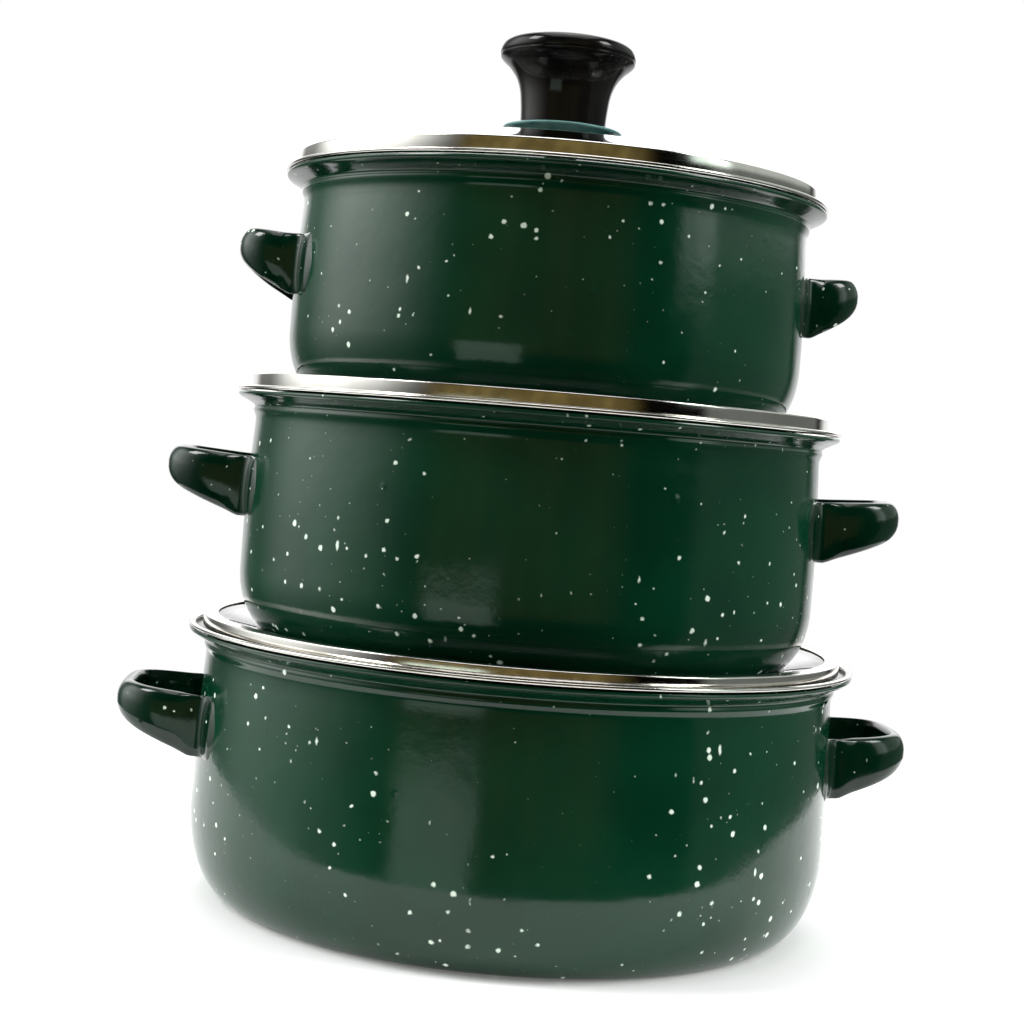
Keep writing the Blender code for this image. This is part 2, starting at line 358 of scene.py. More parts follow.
def knob_outline(seat):
    """Flared knob with a fine groove under its rounded top edge."""
    top = seat + KNOB_HEIGHT
    side = spline([
        (0.0, top),
        (0.0090, top - 0.0001),
        (0.0165, top - 0.0003),
        (0.0196, top - 0.0010),
        (0.0212, top - 0.0022),
        (0.0219, top - 0.0038),
        (0.0219, top - 0.0050),
        (0.0216, top - 0.0054),
        (0.0218, top - 0.0058),
        (0.0214, top - 0.0067),
        (0.0203, top - 0.0078),
        (0.0186, top - 0.0093),
        (0.0163, top - 0.0124),
        (0.0149, top - 0.0162),
        (0.0142, top - 0.0215),
        (0.0138, seat + 0.0006),
        (0.0136, seat),
    ], steps=6)
    hollow = INSERT_RADIUS + 2.0 * GAP
    depth = seat + KNOB_SEAT + 2.0 * GAP
    return side + [(hollow, seat), (hollow, depth), (0.0, depth)]


def insert_outline(seat):
    """Sleeve with ring grooves in its bore that read as a thread."""
    bore = SCREW_RADIUS + 2.0 * GAP
    outline = [(INSERT_RADIUS, seat + KNOB_SEAT), (INSERT_RADIUS, seat + GAP)]
    low = seat + GAP
    pitch = (KNOB_SEAT - GAP) / INSERT_GROOVES
    for i in range(INSERT_GROOVES):
        outline.append((bore, low + pitch * i))
        outline.append((bore + INSERT_GROOVE_DEPTH, low + pitch * (i + 0.5)))
    outline.append((bore, seat + KNOB_SEAT))
    return outline


def screw_outline(head, end):
    """Pan head and a shank with ring grooves that read as its thread."""
    shank = []
    z = end - 0.5 * THREAD_PITCH
    while z - THREAD_PITCH > head + PLAIN_SHANK:
        shank.append((SCREW_RADIUS, z))
        shank.append((SCREW_RADIUS - THREAD_DEPTH, z - 0.5 * THREAD_PITCH))
        z -= THREAD_PITCH
    return [(0.0, end), (SCREW_RADIUS - SCREW_POINT, end)] + shank + [
        (SCREW_RADIUS, head),
        (SCREW_HEAD, head),
        (SCREW_HEAD, head - 0.0006),
        (SCREW_HEAD - 0.0006, head - 0.0014),
        (SCREW_HEAD - 0.0018, head - 0.0020),
        (SCREW_HEAD - 0.0034, head - 0.0022),
        (0.0, head - 0.0022),
    ]


def washer_outline(top):
    """Soft washer between the glass and the screw's head."""
    bore = SCREW_RADIUS + 2.0 * GAP
    return rounded([
        (WASHER_RADIUS, top),
        (WASHER_RADIUS, top - WASHER_HEIGHT),
        (bore, top - WASHER_HEIGHT),
        (bore, top),
    ], 0.0004)


# ---------------------------------------------------------------- handles
FOOT_SUNK = 0.0008        # the foot is fused this far into the enamel of the wall
FOOT_SHEET = 0.0022       # thickness of the foot
TIP_SHEET = 0.0068        # thickness of the strap at its bulging outer end
BEND_REACH = 1.6 * 0.0042  # the bend between foot and strap is eased up to this far from it
FOOT_EDGE = 0.0010        # thickness of the foot where it starts on the wall
FOOT_RAMP = 1.0 / 3.0     # share of the foot's length over which it grows to FOOT_SHEET
FOOT_STEPS = 40           # steps of a path along a foot
LOOP_STEPS = 120          # steps of a path along half the loop
PLAN_POINTS = 240         # points of half a handle in plan while the bend is eased
EASING_PASSES = 40
LOOP_POWER_OUT = 0.92     # the loop's plan is a superellipse with these two powers
LOOP_POWER_ALONG = 0.56
HANDLE_STATIONS = 72      # rings of half a handle
HANDLE_AROUND = 28        # points of a ring
FOOT_STATIONS = 9         # rings over which the foot's end is rounded and the strap thickens
FOOT_LOBE_POWER = 2.2     # superellipse of the foot's rounded end
FLANK_POWER = 0.75        # spreads a ring's points towards the strap's two edges
FACE_POWER = 2.3          # superellipse of the strap's bulging outer face
EDGE_INSET = 0.16         # share of the thickness taken off the strap's edges
EDGE_POWER = 6            # how close to the edges that happens


def even_spacing(path, count):
    """Resample a path of points at equal lengths."""
    lengths = [0.0]
    for a, b in zip(path, path[1:]):
        lengths.append(lengths[-1] + hypot(b[0] - a[0], b[1] - a[1]))
    out = []
    at = 0
    for i in range(count):
        goal = lengths[-1] * i / (count - 1)
        while at < len(path) - 2 and lengths[at + 1] < goal:
            at += 1
        span = lengths[at + 1] - lengths[at] or 1.0
        t = (goal - lengths[at]) / span
        out.append(tuple(a + (b - a) * t for a, b in zip(path[at], path[at + 1])))
    return out


def handle_plan(radius, depth, reach, spread):
    """Outer face of half a handle in plan at a depth below the rim, with an eased bend."""
    foot_angle = spread / radius
    bend_angle = (spread - HANDLE_FOOT) / radius
    wall = wall_radius(radius, depth) - FOOT_SUNK
    path = []
    for i in range(FOOT_STEPS):
        share = i / FOOT_STEPS
        angle = foot_angle + (bend_angle - foot_angle) * share
        ring = wall + FOOT_EDGE + (FOOT_SHEET - FOOT_EDGE) * min(share / FOOT_RAMP, 1.0)
        path.append((ring * cos(angle), ring * sin(angle)))
    ring = wall + FOOT_SHEET
    start_x, start_y = ring * cos(bend_angle), ring * sin(bend_angle)
    tip = radius + reach
    for i in range(LOOP_STEPS + 1):
        turn = 0.5 * pi * i / LOOP_STEPS
        x = start_x + (tip - start_x) * sin(turn) ** LOOP_POWER_OUT
        y = start_y * max(cos(turn), 0.0) ** LOOP_POWER_ALONG
        path.append((x, y))
    path[-1] = (tip, 0.0)
    dense = even_spacing(path, PLAN_POINTS)
    bend = min(
        range(PLAN_POINTS),
        key=lambda i: hypot(dense[i][0] - start_x, dense[i][1] - start_y),
    )
    step = hypot(dense[1][0] - dense[0][0], dense[1][1] - dense[0][1])
    for _ in range(EASING_PASSES):
        eased = list(dense)
        for i in range(1, PLAN_POINTS - 1):
            near = max(0.0, 1.0 - abs(i - bend) * step / BEND_REACH)
            for_x = 0.5 * (dense[i - 1][0] + dense[i + 1][0])
            for_y = 0.5 * (dense[i - 1][1] + dense[i + 1][1])
            eased[i] = (
                dense[i][0] + (for_x - dense[i][0]) * near,
                dense[i][1] + (for_y - dense[i][1]) * near,
            )
        dense = eased
    return dense


def handle_mesh(name, radius, rim, reach, spread, side):
    """Loft a strap with a bulging outer face from one foot round the loop to the other."""
    half_high = even_spacing(
        handle_plan(radius, HANDLE_DROP, reach, spread), HANDLE_STATIONS)
    half_low = even_spacing(
        handle_plan(radius, HANDLE_DROP + HANDLE_ROOT, reach, spread), HANDLE_STATIONS)
    high = half_high + [(x, -y) for x, y in half_high[-2::-1]]
    low = half_low + [(x, -y) for x, y in half_low[-2::-1]]
    start = radius + BELLY
    length = reach - BELLY
    last = len(high) - 1
    bend = min(
        range(HANDLE_STATIONS),
        key=lambda i: abs(high[i][1] / high[i][0] - sin((spread - HANDLE_FOOT) / radius)),
    )
    verts = []
    rings = []
    for i in range(last + 1):
        before, after = high[max(i - 1, 0)], high[min(i + 1, last)]
        tx, ty = after[0] - before[0], after[1] - before[1]
        size = hypot(tx, ty) or 1.0
        nx, ny = -ty / size, tx / size
        share = max(0.0, min(1.0, (high[i][0] - start) / length))
        top = rim - HANDLE_DROP + HANDLE_RISE * share
        tall = HANDLE_ROOT + (HANDLE_TIP - HANDLE_ROOT) * share
        end = min(i, last - i)
        # the strap thickens from two rings before the bend on
        grown = max(0.0, min((end - bend + 2) / FOOT_STATIONS, 1.0))
        grown = grown * grown * (3.0 - 2.0 * grown)
        sheet = FOOT_SHEET + (HANDLE_SHEET - FOOT_SHEET) * grown
        sheet += (TIP_SHEET - HANDLE_SHEET) * share ** 3
        lobe = 1.0
        if end < FOOT_STATIONS:
            left = 1.0 - (end + 0.3) / (FOOT_STATIONS + 0.3)
            lobe = (1.0 - left ** FOOT_LOBE_POWER) ** 0.5
        ring = []
        for k in range(HANDLE_AROUND):
            angle = 2 * pi * (k + 0.5) / HANDLE_AROUND
            v = sin(angle)
            v = abs(v) ** FLANK_POWER * (1 if v >= 0 else -1)
            inside = 1.0 - EDGE_INSET * abs(v) ** EDGE_POWER
            if cos(angle) >= 0:
                bulge = max(1.0 - abs(v) ** FACE_POWER, 0.0) ** (1.0 / FACE_POWER)
                inside -= (1.0 - EDGE_INSET) * bulge
            inside *= sheet
            mix = 0.5 - 0.5 * v * lobe
            x = high[i][0] + (low[i][0] - high[i][0]) * mix
            y = high[i][1] + (low[i][1] - high[i][1]) * mix
            ring.append(len(verts))
            verts.append((
                side * (x - nx * inside),
                y - ny * inside,
                top - 0.5 * tall + 0.5 * tall * v * lobe,
            ))
        rings.append(ring)
    faces = []
    for a, b in zip(rings, rings[1:]):
        for k in range(HANDLE_AROUND):
            m = (k + 1) % HANDLE_AROUND
            faces.append((a[k], b[k], b[m], a[m]))
    faces.append(tuple(rings[0]))
    faces.append(tuple(reversed(rings[-1])))
    mesh = bpy.data.meshes.new(name)
    mesh.from_pydata(verts, [], faces)
    return link(name, mesh, sharp=75.0)


# ---------------------------------------------------------------- material helpers
class Nodes:
    """Short calls for building a node tree."""

    def __init__(self, tree):
        self.tree = tree

    def add(self, kind, **settings):
        node = self.tree.nodes.new(kind)
        for key, value in settings.items():
            setattr(node, key, value)
        return node

    def wire(self, source, target):
        self.tree.links.new(source, target)

    def feed(self, socket, value):
        """Wire a node's output into the socket, or set the socket to a plain value."""
        if isinstance(value, bpy.types.NodeSocket):
            self.wire(value, socket)
        else:
            socket.default_value = value

    def math(self, operation, a, b=0.0, clamp=False):
        node = self.add("ShaderNodeMath", operation=operation, use_clamp=clamp)
        for socket, value in zip(node.inputs, (a, b)):
            self.feed(socket, value)
        return node.outputs[0]

    def remap(self, value, low, high, to_low=0.0, to_high=1.0, smooth=True):
        """Carry low..high over to to_low..to_high, clamped, and eased unless smooth is off."""
        node = self.add(
            "ShaderNodeMapRange",
            interpolation_type="SMOOTHSTEP" if smooth else "LINEAR",
        )
        for key, number in (
            ("Value", value), ("From Min", low), ("From Max", high),
            ("To Min", to_low), ("To Max", to_high),
        ):
            self.feed(node.inputs[key], number)
        return node.outputs["Result"]

    def mix(self, factor, a, b):
        """Colour a at factor 0 and colour b at factor 1."""
        node = self.add("ShaderNodeMix", data_type="RGBA")
        # the colour sockets of this node share their names with its float and vector sockets
        for index, value in ((0, factor), (6, a), (7, b)):
            self.feed(node.inputs[index], value)
        return node.outputs[2]

    def noise(self, vector, scale, detail=2.0, roughness=0.5):
        node = self.add("ShaderNodeTexNoise")
        self.feed(node.inputs["Vector"], vector)
        node.inputs["Scale"].default_value = scale
        node.inputs["Detail"].default_value = detail
        node.inputs["Roughness"].default_value = roughness
        return node.outputs

    def cells(self, vector, scale):
        node = self.add("ShaderNodeTexVoronoi")
        self.feed(node.inputs["Vector"], vector)
        node.inputs["Scale"].default_value = scale
        return node.outputs

    def mapped(self, vector, location=(0, 0, 0), scale=(1, 1, 1)):
        node = self.add("ShaderNodeMapping")
        self.feed(node.inputs["Vector"], vector)
        node.inputs["Location"].default_value = location
        node.inputs["Scale"].default_value = scale
        return node.outputs[0]

    def bump(self, height, strength, distance, normal=None):
        node = self.add("ShaderNodeBump")
        node.inputs["Strength"].default_value = strength
        node.inputs["Distance"].default_value = distance
        self.feed(node.inputs["Height"], height)
        if normal is not None:
            self.wire(normal, node.inputs["Normal"])
        return node.outputs[0]


def new_material(name):
    """A material, its node calls, its shader and its object coordinates in metres."""
    material = bpy.data.materials.new(name)
    material.use_nodes = True
    tree = material.node_tree
    shader = tree.nodes["Principled BSDF"]
    nodes = Nodes(tree)
    coordinates = nodes.add("ShaderNodeTexCoord")
    return material, nodes, shader, coordinates.outputs["Object"]


def rgba(red, green, blue):
    """An opaque colour for a socket."""
    return (red, green, blue, 1.0)


SPECK_WOBBLE = 0.0007     # how far the outline of a speck is drawn out of round, metres
SPECK_EDGE = 0.00035      # width over which a speck fades into the green, metres


def enamel(name, seed, speckle=1.0, depth=1.0):
    """Glossy dark green glass enamel with pale fused specks, orange peel and pimples.

    speckle scales the size of the specks and depth the brightness of the green; a depth below 1
    is painted shade.
    """
    material, n, shader, where = new_material(name)
    spot = n.mapped(where, location=(seed, 0.37 * seed, 0.11 * seed))
    wobble = n.noise(spot, 900.0, 1.0)["Color"]
    shift = n.add("ShaderNodeVectorMath", operation="MULTIPLY_ADD")
    n.wire(wobble, shift.inputs[0])
    shift.inputs[1].default_value = (SPECK_WOBBLE,) * 3
    n.wire(spot, shift.inputs[2])
    loose = shift.outputs[0]
    # the specks are smaller in some patches of the wall than in others
    cluster = n.remap(n.noise(spot, 22.0, 1.0)["Fac"], 0.38, 0.62, 0.50, 1.15)

    def specks(vector, scale, radius, rare):
        """Specks of up to this radius in cells; a share of the cells, rare, holds none."""
        cell = n.cells(vector, scale)
        pick = n.add("ShaderNodeSeparateColor")
        n.wire(cell["Color"], pick.inputs[0])
        keep = n.remap(pick.outputs[0], rare, 1.0, 0.0, 1.0, smooth=False)
        size = n.math("MULTIPLY", n.math("POWER", keep, 0.6), radius * scale * speckle)
        size = n.math("MULTIPLY", size, cluster)
        core = n.math("SUBTRACT", size, cell["Distance"])
        return n.math("MULTIPLY", core, 1.0 / (SPECK_EDGE * scale), clamp=True)

    round_specks = specks(loose, 205.0, 0.00100, 0.12)
    tall = n.mapped(loose, scale=(1.0, 1.0, 0.42))  # draws the specks out upwards
    long_specks = specks(tall, 150.0, 0.00080, 0.50)
    fine_specks = specks(loose, 330.0, 0.00042, 0.45)
    all_specks = n.math("MAXIMUM", round_specks, long_specks)
    all_specks = n.math("MAXIMUM", all_specks, n.math("MULTIPLY", fine_specks, 0.8))

    tone = n.remap(n.noise(where, 26.0, 3.0)["Fac"], 0.35, 0.65)
    # a depth below 1 darkens the green as painted shade, which the handles use
    green = n.mix(
        tone, rgba(0.0018 * depth, 0.0300 * depth, 0.0135 * depth),
        rgba(0.0026 * depth, 0.0390 * depth, 0.0175 * depth),
    )
    mint = n.mix(
        n.noise(loose, 420.0, 1.0)["Fac"], rgba(0.66, 0.92, 0.72), rgba(1.0, 1.0, 0.97),
    )
    n.wire(n.mix(all_specks, green, mint), shader.inputs["Base Color"])
    smear = n.noise(where, 60.0, 4.0, 0.6)["Fac"]
    n.wire(n.remap(smear, 0.35, 0.75, 0.10, 0.17), shader.inputs["Roughness"])
    shader.inputs["IOR"].default_value = 1.46

    peel = n.noise(where, 260.0, 2.0, 0.55)["Fac"]
    waves = n.noise(where, 45.0, 1.0)["Fac"]
    pimple_cell = n.cells(n.mapped(where, location=(seed + 3.0, 1.0, 2.0)), 62.0)
    pick = n.add("ShaderNodeSeparateColor")
    n.wire(pimple_cell["Color"], pick.inputs[0])
    keep = n.remap(pick.outputs[1], 0.80, 0.85, smooth=False)
    pimple = n.remap(pimple_cell["Distance"], 0.12, 0.02)
    # from the sheet's long waves to the raised specks
    normal = n.bump(waves, 0.5, 0.0004)
    normal = n.bump(peel, 0.36, 0.00012, normal)
    normal = n.bump(n.math("MULTIPLY", pimple, keep), 0.5, 0.00030, normal)
    normal = n.bump(all_specks, 0.35, 0.00010, normal)
    n.wire(normal, shader.inputs["Normal"])
    return material


def polished_steel(name, tint=(0.74, 0.715, 0.68)):
    """Rolled and polished stainless strip: fine lines round the ring and faint smears."""
    material, n, shader, where = new_material(name)
    split = n.add("ShaderNodeSeparateXYZ")
    n.wire(where, split.inputs[0])
    x, y, z = split.outputs
    turn = n.math("ARCTAN2", y, x)
    square = n.math("ADD", n.math("MULTIPLY", x, x), n.math("MULTIPLY", y, y))
    # a full turn is squeezed, which draws the noise out into lines round the ring
    unrolled = n.add("ShaderNodeCombineXYZ")
    n.wire(n.math("MULTIPLY", turn, 0.012), unrolled.inputs[0])
    n.wire(n.math("POWER", square, 0.5), unrolled.inputs[1])
    n.wire(z, unrolled.inputs[2])
    lines = n.noise(unrolled.outputs[0], 5200.0, 3.0, 0.6)["Fac"]
    smear = n.noise(where, 90.0, 3.0)["Fac"]
    colour = n.mix(
        n.remap(smear, 0.3, 0.7), rgba(*tint),
        rgba(tint[0] * 0.9, tint[1] * 0.9, tint[2] * 0.88),
    )
    n.wire(colour, shader.inputs["Base Color"])
    shader.inputs["Metallic"].default_value = 1.0
    n.wire(n.remap(lines, 0.3, 0.7, 0.07, 0.15), shader.inputs["Roughness"])
    normal = n.bump(lines, 0.10, 0.00003)
    normal = n.bump(n.noise(where, 35.0, 1.0)["Fac"], 0.25, 0.0003, normal)
    n.wire(normal, shader.inputs["Normal"])
    return material


def clear_glass():
    """Slightly green glass with faint smears and long waves in its surface."""
    material, n, shader, where = new_material("clear_tempered_glass")
    smear = n.noise(where, 30.0, 4.0, 0.6)["Fac"]
    colour = n.mix(n.remap(smear, 0.3, 0.7), rgba(0.95, 0.985, 0.975), rgba(0.92, 0.97, 0.96))
    n.wire(colour, shader.inputs["Base Color"])
    n.wire(n.remap(smear, 0.45, 0.8, 0.0, 0.03), shader.inputs["Roughness"])
    shader.inputs["Transmission Weight"].default_value = 1.0
    shader.inputs["IOR"].default_value = 1.50
    n.wire(n.bump(n.noise(where, 22.0, 1.0)["Fac"], 0.12, 0.0006), shader.inputs["Normal"])
    return material


def gloss_plastic(name, low, high, rough_low, rough_high, specular):
    """Moulded plastic between two colours, with faint flow marks and fine scratches."""
    material, n, shader, where = new_material(name)
    flow = n.noise(n.mapped(where, scale=(1.0, 1.0, 0.3)), 60.0, 3.0)["Fac"]
    n.wire(n.mix(n.remap(flow, 0.35, 0.65), rgba(*low), rgba(*high)),
           shader.inputs["Base Color"])
    scratch = n.noise(n.mapped(where, scale=(1.0, 0.15, 1.0)), 1400.0, 2.0)["Fac"]
    n.wire(n.remap(scratch, 0.45, 0.75, rough_low, rough_high), shader.inputs["Roughness"])
    shader.inputs["Specular IOR Level"].default_value = specular
    normal = n.bump(n.noise(where, 500.0, 2.0)["Fac"], 0.12, 0.00006)
    n.wire(normal, shader.inputs["Normal"])
    return material


def turned_brass():
    """Brass with the fine rings that a lathe leaves."""
    material, n, shader, where = new_material("turned_brass")
    rings = n.add("ShaderNodeTexWave", bands_direction="Z")
    n.wire(where, rings.inputs["Vector"])
    rings.inputs["Scale"].default_value = 900.0
    rings.inputs["Distortion"].default_value = 1.5
    n.wire(n.mix(rings.outputs["Fac"], rgba(0.62, 0.42, 0.15), rgba(0.76, 0.56, 0.24)),
           shader.inputs["Base Color"])
    shader.inputs["Metallic"].default_value = 1.0
    n.wire(n.remap(rings.outputs["Fac"], 0.0, 1.0, 0.22, 0.36), shader.inputs["Roughness"])
    n.wire(n.bump(rings.outputs["Fac"], 0.2, 0.00005), shader.inputs["Normal"])
    return material


def seal_rubber():
    """Matt grey silicone with a fine grain."""
    material, n, shader, where = new_material("silicone_seal")
    grain = n.noise(where, 1800.0, 3.0)["Fac"]
    n.wire(n.mix(grain, rgba(0.42, 0.43, 0.43), rgba(0.55, 0.56, 0.56)),
           shader.inputs["Base Color"])
    n.wire(n.remap(grain, 0.3, 0.7, 0.48, 0.66), shader.inputs["Roughness"])
    n.wire(n.bump(grain, 0.3, 0.00006), shader.inputs["Normal"])
    return material


# ---------------------------------------------------------------- the pots
STEEL = polished_steel("polished_rim_steel")
BAND_STEEL = polished_steel("polished_band_steel", (0.78, 0.755, 0.72))
SCREW_STEEL = polished_steel("zinc_screw_steel", (0.62, 0.62, 0.63))
GLASS_CLEAR = clear_glass()
KNOB_BLACK = gloss_plastic("black_phenolic", (0.003, 0.003, 0.003), (0.008, 0.007, 0.006),
                           0.07, 0.16, 0.24)
COLLAR_TEAL = gloss_plastic("teal_collar", (0.060, 0.180, 0.175), (0.200, 0.360, 0.340),
                            0.04, 0.10, 0.6)
BRASS = turned_brass()
RUBBER = seal_rubber()


def build_pot(label, seed):
    """One pot with its bead and two handles, sized and placed by the CAD bead and shell."""
    corner_height, corner_width, spread, reach, turn = POTS[label]
    body = label + "_pot"
    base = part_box(label + "_pot_shell")[0].z
    trim_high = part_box(label + "_pot_rim_trim")[1]
    rim = trim_high.z
    radius = trim_high.x - TRIM_REACH
    glaze = enamel(label + "_speckled_enamel", seed)
    # the handles take a darker copy of the pot's enamel: painted shade on the loops
    shaded_handle_glaze = enamel(label + "_shaded_handle_enamel", seed + 5.3, speckle=0.85, depth=0.42)
    shell = lathe(
        label + "_enamelled_shell",
        pot_outline(radius, base, rim, corner_height, corner_width), SEGMENTS,
    )
    place(shell, label + "_pot_shell", body, glaze)
    trim = lathe(label + "_rim_trim", trim_outline(radius, rim), SEGMENTS)
    place(trim, label + "_pot_rim_trim", body, STEEL)
    for side, word in ((-1.0, "left"), (1.0, "right")):
        handle = handle_mesh(
            label + "_loop_handle_" + word, radius, rim, reach, spread, side,
        )
        handle.data.transform(Matrix.Rotation(radians(turn), 4, "Z"))
        node = label + "_pot_handle_" + word
        place(handle, node, body, shaded_handle_glaze)


# ---------------------------------------------------------------- the lids
def build_lid(label, turned_over):
    """One lid with its knob and hardware, sized and placed by the CAD band."""
    body = label + "_lid"
    band_low, band_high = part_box(label + "_lid_band")
    radius = band_high.x - BAND_REACH
    rest = band_high.z if turned_over else band_low.z
    sign = -1.0 if turned_over else 1.0
    centre = centre_height(radius)
    collar_seat = centre + GAP
    knob_seat = collar_seat + COLLAR_HEIGHT + GAP
    washer_top = centre - GLASS - GAP
    head = washer_top - WASHER_HEIGHT - GAP
    screw_end = knob_seat + KNOB_SEAT - GAP
    pieces = (
        ("_domed_glass", "_lid_glass", glass_outline(radius), SEGMENTS, GLASS_CLEAR,
         "clear_glass"),
        ("_glass_band", "_lid_band", band_outline(radius), SEGMENTS, BAND_STEEL,
         "polished_steel"),
        ("_collar", "_lid_knob_collar", collar_outline(collar_seat), KNOB_SEGMENTS,
         COLLAR_TEAL, "collar_teal"),
        ("_knob", "_lid_knob", knob_outline(knob_seat), KNOB_SEGMENTS, KNOB_BLACK,
         "knob_black"),
        ("_threaded_insert", "_lid_knob_insert", insert_outline(knob_seat), HARDWARE_SEGMENTS,
         BRASS, "insert_brass"),
        ("_pan_screw", "_lid_screw", screw_outline(head, screw_end), HARDWARE_SEGMENTS,
         SCREW_STEEL, "polished_steel"),
        ("_seal", "_lid_seal_washer", washer_outline(washer_top), HARDWARE_SEGMENTS,
         RUBBER, "seal_rubber"),
    )
    for suffix, node, outline, steps, material, slot in pieces:
        section = [(x, rest + sign * z) for x, z in outline]
        piece = lathe(label + suffix, section, steps)
        place(piece, label + node, body, material)


# the seed moves the pattern of specks, so that no two pots share it
for index, label in enumerate(POTS):
    build_pot(label, 1.7 + 2.9 * index)
    build_lid(label, turned_over=label != "small")


# ---------------------------------------------------------------- floor
FLOOR_RADIUS = 0.30       # the flat part
FLOOR_ROLL = 0.040        # radius of the rolled edge
FLOOR_SKIRT = 0.50        # how far the sheet hangs down
FLOOR_CENTRE = 0.135      # the table stands this far behind the stack's axis
FLOOR_SEGMENTS = 128
ROLL_STEPS = 12


def build_floor():
    """A round table top under a white sheet that rolls down over its edge."""
    steps = FLOOR_SEGMENTS
    rings = [(0.02, 0.0), (0.15, 0.0), (FLOOR_RADIUS, 0.0)]
    for i in range(1, ROLL_STEPS + 1):
        angle = 0.5 * pi * i / ROLL_STEPS
        rings.append((
            FLOOR_RADIUS + FLOOR_ROLL * sin(angle),
            -FLOOR_ROLL * (1.0 - cos(angle)),
        ))
    rings.append((FLOOR_RADIUS + FLOOR_ROLL, -FLOOR_SKIRT))
    verts = []
    for ring, z in rings:
        for k in range(steps):
            angle = 2 * pi * k / steps
            verts.append((ring * cos(angle), ring * sin(angle), z))
    faces = [tuple(range(steps))]
    for i in range(len(rings) - 1):
        for k in range(steps):
            m = (k + 1) % steps
            faces.append((
                steps * i + k, steps * i + steps + k, steps * i + steps + m, steps * i + m,
            ))
    mesh = bpy.data.meshes.new("studio_floor")
    mesh.from_pydata(verts, [], faces)
    floor = link("studio_floor", mesh)
    floor.location = (0.0, FLOOR_CENTRE, CAD_BOX[0].z - 0.0001)  # a hair under the pot
    material, n, shader, where = new_material("pale_paper_floor")
    fibre = n.noise(where, 40.0, 4.0)["Fac"]
    n.wire(n.mix(fibre, rgba(0.90, 0.90, 0.90), rgba(0.93, 0.93, 0.93)),
           shader.inputs["Base Color"])
    shader.inputs["Roughness"].default_value = 0.9
    shader.inputs["Specular IOR Level"].default_value = 0.2
    shader.inputs["Emission Color"].default_value = rgba(1.0, 1.0, 1.0)
    shader.inputs["Emission Strength"].default_value = 0.12
    mesh.materials.append(material)


# ---------------------------------------------------------------- light
SIDE_RISE = (-34.0, 46.0)  # the two side panels' lower and upper edges, in degrees
SIDE_SOFT = 10.0


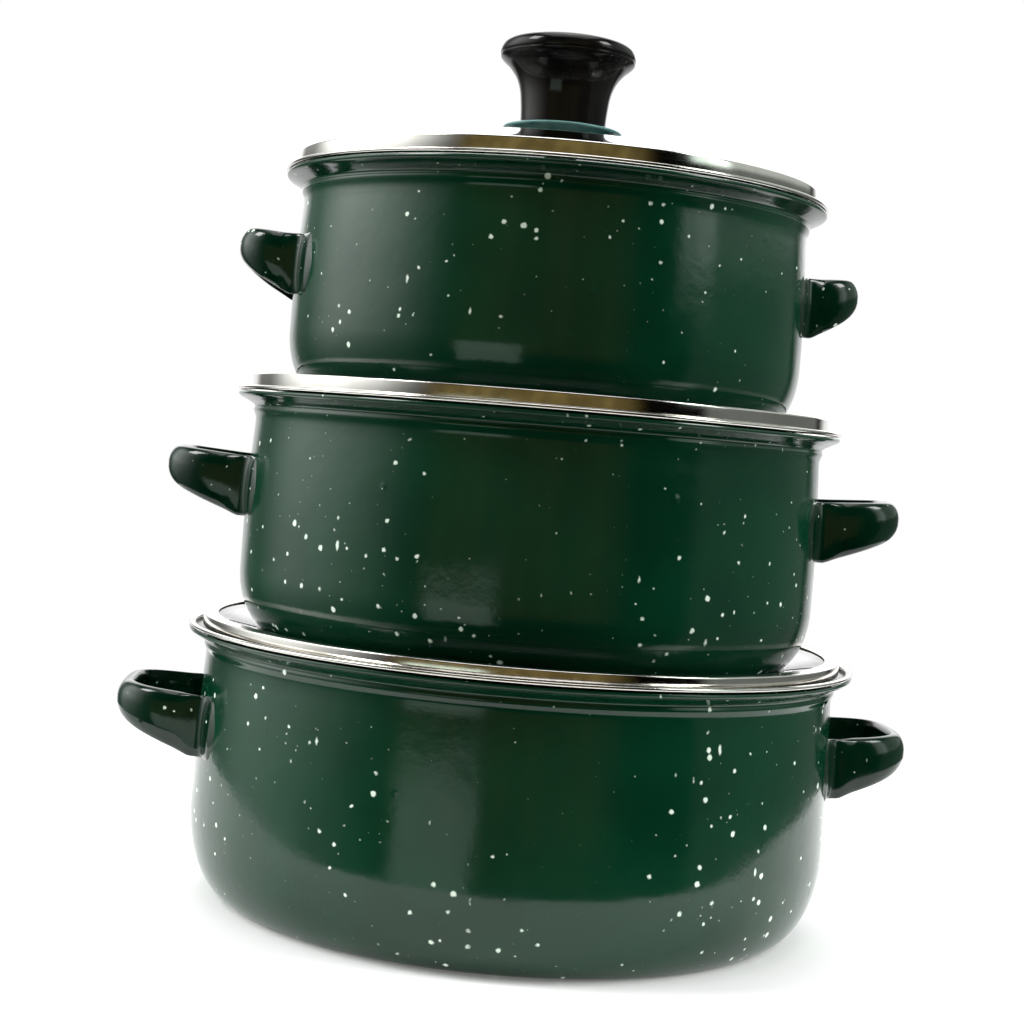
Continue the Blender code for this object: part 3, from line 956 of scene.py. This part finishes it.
def build_world():
    """A white studio behind the stack, soft boxes at its sides and a dark room in front."""
    world = bpy.data.worlds.new("studio")
    bpy.context.scene.world = world
    world.use_nodes = True
    n = Nodes(world.node_tree)
    background = world.node_tree.nodes["Background"]
    where = n.add("ShaderNodeTexCoord").outputs["Generated"]
    split = n.add("ShaderNodeSeparateXYZ")
    n.wire(where, split.inputs[0])
    x, y, z = split.outputs
    # angle from the camera's side (-Y), positive to the right (+X), in degrees
    turn = n.math("MULTIPLY", n.math("ARCTAN2", x, n.math("MULTIPLY", y, -1.0)), 180 / pi)
    rise = n.math("MULTIPLY", n.math("ARCSINE", z), 180 / pi)

    def window(value, low, high, soft):
        """1 between low and high, falling to 0 over a soft edge of twice this width."""
        up = n.remap(value, low - soft, low + soft)
        down = n.remap(value, high + soft, high - soft)
        return n.math("MULTIPLY", up, down)

    def patch(turn_range, rise_range, turn_soft, rise_soft, level):
        """A soft-edged rectangle of this level in the world's directions."""
        area = n.math("MULTIPLY", window(turn, *turn_range, turn_soft),
                      window(rise, *rise_range, rise_soft))
        return n.math("MULTIPLY", area, level)

    def tinted(level, colour):
        node = n.add("ShaderNodeVectorMath", operation="SCALE")
        node.inputs[0].default_value = colour
        n.wire(level, node.inputs["Scale"])
        return node.outputs[0]

    def total(parts):
        out = parts[0]
        for part in parts[1:]:
            node = n.add("ShaderNodeVectorMath", operation="ADD")
            n.wire(out, node.inputs[0])
            n.wire(part, node.inputs[1])
            out = node.outputs[0]
        return out

    # the left soft box brightens upwards and fades towards the camera and the back
    left = n.math("POWER", 2.0, n.math("DIVIDE", n.math("MINIMUM", rise, 12.0), 11.0))
    left = n.math("MULTIPLY", left, 1.52)
    left = n.math("MULTIPLY", left, n.remap(turn, -38.0, -96.0, 0.0, 1.0))
    left = n.math("MULTIPLY", left, n.remap(turn, -134.0, -100.0, 0.12, 1.0))
    left = n.math("MULTIPLY", left, window(rise, *SIDE_RISE, SIDE_SOFT))
    left = n.math("MULTIPLY", left, n.remap(turn, -150.0, -140.0))
    # the right one is a dim card with a clean edge, brighter in its upper part
    right = window(turn, 66.0, 140.0, 3.0)
    right = n.math("MULTIPLY", right, window(rise, *SIDE_RISE, SIDE_SOFT))
    right = n.math("MULTIPLY", right, n.remap(rise, 7.5, 10.5, 0.17, 0.60))
    # a bright upright strip on the card's edge, for the polished bands
    strip = patch((57.0, 76.0), (8.5, 46.0), 3.0, 3.0, 1.5)
    back = n.math("ADD", n.remap(turn, 142.0, 156.0), n.remap(turn, -142.0, -156.0))
    back = n.math("MULTIPLY", back, n.remap(rise, 3.0, 14.0, 1.0, 2.3))
    # a small card low on the camera's left, which the walls mirror as a pale rectangle
    low_card = patch((-39.0, -11.0), (-24.0, -4.5), 2.5, 1.2, 1.1)
    overhead = n.remap(rise, 52.0, 78.0, 0.0, 0.8)
    # the room in front is a dim, warm, streaked brown
    grain = n.noise(n.mapped(where, scale=(1.0, 1.0, 0.12)), 16.0, 3.0)["Fac"]
    warm_level = patch((-42.0, 34.0), (-14.0, 24.0), 8.0, 6.0, 1.0)
    warm_level = n.math("MULTIPLY", warm_level, n.remap(grain, 0.35, 0.65, 0.55, 1.0))
    studio = total([
        tinted(left, (0.97, 1.0, 0.98)),
        tinted(right, (0.92, 1.0, 0.94)),
        tinted(strip, (0.84, 1.0, 0.91)),
        tinted(n.math("ADD", back, overhead), (1.0, 1.0, 1.0)),
        tinted(low_card, (0.80, 1.0, 0.90)),
        tinted(warm_level, (0.21, 0.16, 0.055)),
    ])

    # the camera sees plain white, also through the glass
    ray = n.add("ShaderNodeLightPath")
    seen = n.math("MAXIMUM", ray.outputs["Is Camera Ray"], ray.outputs["Is Transmission Ray"])
    n.wire(n.mix(seen, studio, rgba(1.0, 1.0, 1.0)), background.inputs["Color"])


LIGHT_TARGET = Vector((0.0, 0.0, 0.14))  # the middle of the stack


def soft_light(name, turn, rise, distance, size, radiance, mirrored=True):
    """An area light that faces the stack; turn is from the camera's side, to the right.

    A light that isn't mirrored only shows in matt shading, not in glossy reflections.
    """
    light = bpy.data.lights.new(name, "AREA")
    light.shape = "RECTANGLE"
    light.size, light.size_y = size
    light.energy = radiance * pi * size[0] * size[1]
    obj = bpy.data.objects.new(name, light)
    a, e = radians(turn), radians(rise)
    offset = Vector((sin(a) * cos(e), -cos(a) * cos(e), sin(e))) * distance
    obj.location = LIGHT_TARGET + offset
    obj.rotation_euler = (-offset).to_track_quat("-Z", "Y").to_euler()
    obj.visible_glossy = mirrored
    bpy.context.scene.collection.objects.link(obj)


# ---------------------------------------------------------------- camera
CAMERA_LENS = 66.8        # millimetres, on a sensor 36 mm wide
CAMERA_PLACE = (0.0, -0.6173, 0.1495)
CAMERA_DOWN = 0.0366      # radians
CAMERA_TURN = -0.0101     # radians, positive to the right
CAMERA_ROLL = 0.0810      # radians


def build_camera():
    """At the height between the two lower rims, rolled so that the stack leans."""
    camera = bpy.data.cameras.new("camera")
    camera.lens = CAMERA_LENS
    camera.sensor_width = 36.0
    obj = bpy.data.objects.new("camera", camera)
    down, turn, roll = CAMERA_DOWN, CAMERA_TURN, CAMERA_ROLL
    forward = Vector((sin(turn) * cos(down), cos(turn) * cos(down), -sin(down)))
    right = Vector((cos(turn), -sin(turn), 0.0))
    up = right.cross(forward)
    right_rolled = cos(roll) * right + sin(roll) * up
    up_rolled = cos(roll) * up - sin(roll) * right
    basis = Matrix((right_rolled, up_rolled, -forward)).transposed()
    obj.matrix_world = Matrix.Translation(CAMERA_PLACE) @ basis.to_4x4()
    bpy.context.scene.collection.objects.link(obj)
    bpy.context.scene.camera = obj


build_floor()
build_world()
soft_light("left_key", -72.0, 48.0, 1.3, (0.34, 0.34), 14.0)
soft_light("right_key", 74.0, 46.0, 1.3, (0.30, 0.30), 12.0)
soft_light("left_fill", -80.0, 20.0, 1.2, (0.60, 0.50), 8.0, mirrored=False)
soft_light("right_fill", 80.0, 20.0, 1.2, (0.60, 0.50), 11.0, mirrored=False)
soft_light("top_fill", 0.0, 84.0, 1.4, (1.1, 1.1), 1.6)
build_camera()
bpy.context.scene.view_settings.view_transform = "Standard"
